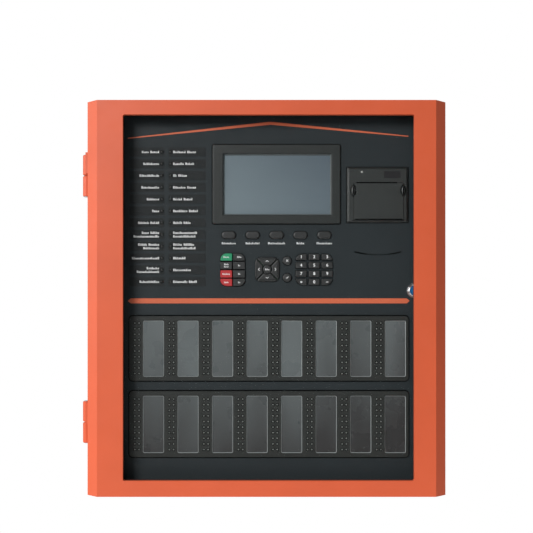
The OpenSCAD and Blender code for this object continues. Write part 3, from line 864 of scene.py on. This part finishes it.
def populate(name, body, place, area, count):
    """Fills a board with chips, capacitors, relays and connectors that don't overlap."""
    finishes = ("chip_black", "aluminium", "white_plastic", "relay_plastic", "gold")
    shapes = {finish: Shape(place) for finish in finishes}
    taken = []
    sizes = {"chip": (14, 10), "cap": (9, 9), "relay": (19, 15), "plug": (24, 7), "part": (5, 2.6)}
    kinds = ["part"] * 9 + ["chip"] * 4 + ["cap"] * 3 + ["plug"] * 2 + ["relay"]
    for _ in range(count * 6):
        kind = rng.choice(kinds)
        w, h = sizes[kind] if rng.random() < 0.6 else sizes[kind][::-1]
        x = rng.uniform(area[0] + w, area[1] - w)
        z = rng.uniform(area[2] + h, area[3] - h)
        spot = (x - w / 2 - 1.2, x + w / 2 + 1.2, z - h / 2 - 1.2, z + h / 2 + 1.2)
        if any(spot[0] < t[1] and spot[1] > t[0] and spot[2] < t[3] and spot[3] > t[2] for t in taken):
            continue
        taken.append(spot)
        add_component(shapes, kind, x, z, w, h)
        if len(taken) > count:
            break
    for finish, shape in shapes.items():
        if shape.mesh.faces:
            shape.piece(f"{name}_{finish}", finish, body, "circuit_board")


def add_component(shapes, kind, x, z, w, h):
    """One component standing on a board at y 0, rising towards -Y."""
    edges = (x - w / 2, x + w / 2, z - h / 2, z + h / 2)
    if kind == "chip":
        shapes["chip_black"].block(*edges, -0.4, -2.2, 0.3)
        along = w > h
        for i in range(7):
            step = (i - 3) * 1.8
            for side in (-1, 1):
                px = x + (step if along else side * (w / 2 + 0.7))
                pz = z + (side * (h / 2 + 0.7) if along else step * 0.75)
                shapes["gold"].block(px - 0.35, px + 0.35, pz - 0.35, pz + 0.35, 0, -0.9, 0.1)
    elif kind == "cap":
        profile = [(4.2, 0), (4.2, -8.6), (3.8, -9.2), (3.0, -9.3), (2.8, -9.0), (0.1, -9.0)]
        shapes["chip_black"].turned(x, z, [(4.3, 0), (4.3, -7.6), (3.9, -7.6), (3.9, 0)], 20)
        shapes["aluminium"].turned(x, z, profile, 20)
    elif kind == "relay":
        shapes["relay_plastic"].block(*edges, 0, -11.5, 0.7)
        shapes["white_plastic"].block(x - 3, x + 3, z - 1.2, z + 1.2, -11.4, -11.7, 0.1)
    elif kind == "plug":
        shapes["white_plastic"].hoop(rounded(*edges, 0.6, 2), inset(rounded(*edges, 0.6, 2), 0.9), 0, -7.5)
        shapes["white_plastic"].block(edges[0] + 0.5, edges[1] - 0.5, edges[2] + 0.5, edges[3] - 0.5,
                                      0, -1.4, 0.1)
        long = max(w, h)
        for i in range(int(long / 2.54) - 1):
            step = (i + 1) * 2.54 - long / 2
            px, pz = (x + step, z) if w > h else (x, z + step)
            shapes["gold"].block(px - 0.35, px + 0.35, pz - 0.35, pz + 0.35, -1.3, -6.5, 0.15)
    else:
        finish = rng.choice(("chip_black", "white_plastic"))
        shapes[finish].block(x - w * 0.3, x + w * 0.3, z - h * 0.4, z + h * 0.4, 0, -0.9, 0.1)
        for side in (-1, 1):
            shift = (side * w * 0.38, 0) if w > h else (0, side * h * 0.38)
            shapes["aluminium"].block(x + shift[0] - 0.5, x + shift[0] + 0.5, z + shift[1] - 0.8,
                                      z + shift[1] + 0.8, 0, -0.8, 0.1)


def boards():
    """Components on the main board and on the three boards behind the panel."""
    board_front = mm("main_board")[0].y
    populate("main_board_parts", "cabinet", facing_front(board_front), (-146, 146, 16, 188), 95)
    screws = Shape()
    for x in (-142, 142):
        for z in (-12, 102, 217):
            screws.screw(x, z, board_front, 2.8)
    screws.piece("main_board_screws", "zinc_steel", "cabinet", "zinc_steel")
    back = mm("panel_boards")[1].y
    populate("panel_board_parts", "control_panel", facing_back(back), (-100, 148, 16, 206), 80)
    zone_back = -114.4
    for i, (z0, z1) in enumerate(((-108, -25), (-210, -125))):
        area = (-185, 180, z0, z1)
        populate(f"zone_board_{i + 1}_parts", "control_panel", facing_back(zone_back), area, 55)


def terminals():
    """Clamping screws and wire entries along both terminal blocks."""
    front = mm("terminal_blocks")[0].y
    screws, mouths = Shape(), Shape()
    pitch = 8.25
    for base in (3, 202):
        for i in range(31):
            x = (i - 15) * pitch
            joint = x + pitch / 2
            screws.screw(x, base + 4.2, front + 0.2, 2.5)
            # wire entries and the joints between units are dark patches: painted shade for openings and gaps
            # that are not cut
            mouths.block(x - 2.6, x + 2.6, base - 6.6, base - 2.6, -24.2, -24.4, 0.1)
            mouths.block(joint - 0.2, joint + 0.2, base - 0.8, base + 7.6, front + 0.1, front - 0.15, 0.05)
    screws.piece("terminal_screws", "zinc_steel", "cabinet", "zinc_steel")
    mouths.piece("terminal_entry_shade", "painted_shade_dark", "cabinet", "terminal_green")


def power_details():
    """Battery panels and terminal covers, the earth stud and the supply's screws."""
    lo, hi = mm("batteries")
    lids, covers = Shape(), Shape()
    battery_width = 151
    for x0, x1 in ((lo.x, lo.x + battery_width), (hi.x - battery_width, hi.x)):
        lids.plate(rounded(x0 + 4, x1 - 4, lo.z + 12, lo.z + 80, 3), lo.y, lo.y - 0.5, 0.3)
        covers.plate(rounded(x0 + 12, x0 + 22, lo.z + 95, lo.z + 103, 2), -67.5, -76, 1.0)
    lids.piece("battery_panels", "chip_black", "cabinet", "battery_case")
    covers.piece("battery_terminal_covers", "terminal_red", "cabinet", "battery_case")
    stud = Shape()
    stud.turned(-212, 44, [(6, -1.5), (6, -3), (2.6, -3), (2.6, -12), (2.2, -12.6)], 20)
    stud.turned(-212, 44, [(5.2, -4.6), (5.2, -8.4), (4.7, -8.8), (3, -8.8), (3, -4.6)], 6)
    stud.piece("earth_stud", "gold", "cabinet", "zinc_steel")
    supply_lo, supply_hi = mm("power_supply")
    screws = Shape()
    for x in (supply_lo.x + 6, supply_hi.x - 6):
        for z in (supply_lo.z + 6, supply_hi.z - 6):
            screws.screw(x, z, supply_lo.y, 2.2)
    screws.piece("power_supply_screws", "zinc_steel", "cabinet", "zinc_steel")


def hinge_caps():
    """Turned caps at the ends of the door's hinge knuckles."""
    hinge_z, knuckle = 166, 28
    profile = ((4.1, -0.1), (4.1, 0.35), (2.8, 0.6), (0.1, 0.7))
    for name, body in (("cabinet_hinge_leaves", "cabinet"), ("door_hinge_leaves", "door")):
        face = 1 if body == "door" else -1
        x, y = mm(name)[0].x + 5.2, -109.0
        cap = Shape(Matrix.Rotation(math.radians(-90), 4, "X"))
        for s in (-1, 1):
            z = s * hinge_z + face * knuckle
            cap.turned(x, y, [(radius, -(z + rise * face)) for radius, rise in profile], 24)
        cap.piece(name + "_caps", "zinc_steel", body, "zinc_steel")


# ---------- studio ----------


def area_light(name, at, size, watts, towards=(0, -0.13, 0)):
    """A white rectangular light, aimed at the front of the panel."""
    data = bpy.data.lights.new(name, "AREA")
    data.shape = "RECTANGLE"
    data.size, data.size_y = size
    data.energy = watts
    lamp = bpy.data.objects.new(name, data)
    lamp.location = at
    lamp.rotation_mode = "QUATERNION"
    lamp.rotation_quaternion = (Vector(towards) - Vector(at)).to_track_quat("-Z", "Y")
    bpy.context.scene.collection.objects.link(lamp)


def studio():
    """A white room with one soft key light from the upper left, a pale floor and the camera."""
    scene = bpy.context.scene
    scene.view_settings.view_transform = "Standard"
    scene.view_settings.look = "None"
    scene.world = bpy.data.worlds.new("studio")
    scene.world.use_nodes = True
    tree = scene.world.node_tree
    dim = tree.nodes["Background"]
    dim.inputs["Strength"].default_value = 0.22
    dim.inputs["Color"].default_value = (1, 1, 1, 1)
    white = tree.nodes.new("ShaderNodeBackground")
    white.inputs["Color"].default_value = (1, 1, 1, 1)
    path = tree.nodes.new("ShaderNodeLightPath")
    mix = tree.nodes.new("ShaderNodeMixShader")
    tree.links.new(path.outputs["Is Camera Ray"], mix.inputs[0])
    tree.links.new(dim.outputs[0], mix.inputs[1])
    tree.links.new(white.outputs[0], mix.inputs[2])
    tree.links.new(mix.outputs[0], tree.nodes["World Output"].inputs["Surface"])
    area_light("key", (-2.15, -3.95, 1.5), (1.6, 1.35), 165)
    area_light("side", (-2.2, -0.45, 0.5), (1.0, 1.6), 26)
    area_light("top", (0, -0.5, 2.0), (1.6, 0.8), 8)
    area_light("back", (1.6, 1.7, 0.9), (1.2, 1.2), 14)
    floor_mesh = bpy.data.meshes.new("floor")
    floor_z, half, near, far = -0.45, 0.9, -0.9, 0.42
    corners = [(-half, near, floor_z), (half, near, floor_z), (half, far, floor_z), (-half, far, floor_z)]
    floor_mesh.from_pydata(corners, [], [(0, 1, 2, 3)])
    floor_mesh.materials.append(floor_finish())
    floor = bpy.data.objects.new("floor", floor_mesh)
    scene.collection.objects.link(floor)
    data = bpy.data.cameras.new("camera")
    data.sensor_width = 36
    data.lens = 67.05
    data.shift_y = 0.0885
    camera = bpy.data.objects.new("camera", data)
    camera.location = (0, -1.45, -0.02)
    camera.rotation_euler = (math.radians(90), 0, 0)
    scene.collection.objects.link(camera)
    scene.camera = camera


def floor_finish():
    """A pale floor that glows a little, so that it fades into the white background."""
    made = Finish("floor", srgb(244, 244, 242), 0.7, specular=0.2).mottle(3, 0.01).worn(8, 0.05)
    made.shader.inputs["Emission Color"].default_value = (1, 1, 1, 1)
    made.shader.inputs["Emission Strength"].default_value = 0.3
    return made.material


dress_frame()
for key in KEYS:
    key_cap(key)
key_marks()
fascia_print()
lamps()
shadow_gaps()
sound_slot()
window_lips()
printer_details()
lock()
door_details()
cabinet_seal()
boards()
terminals()
power_details()
hinge_caps()
studio()
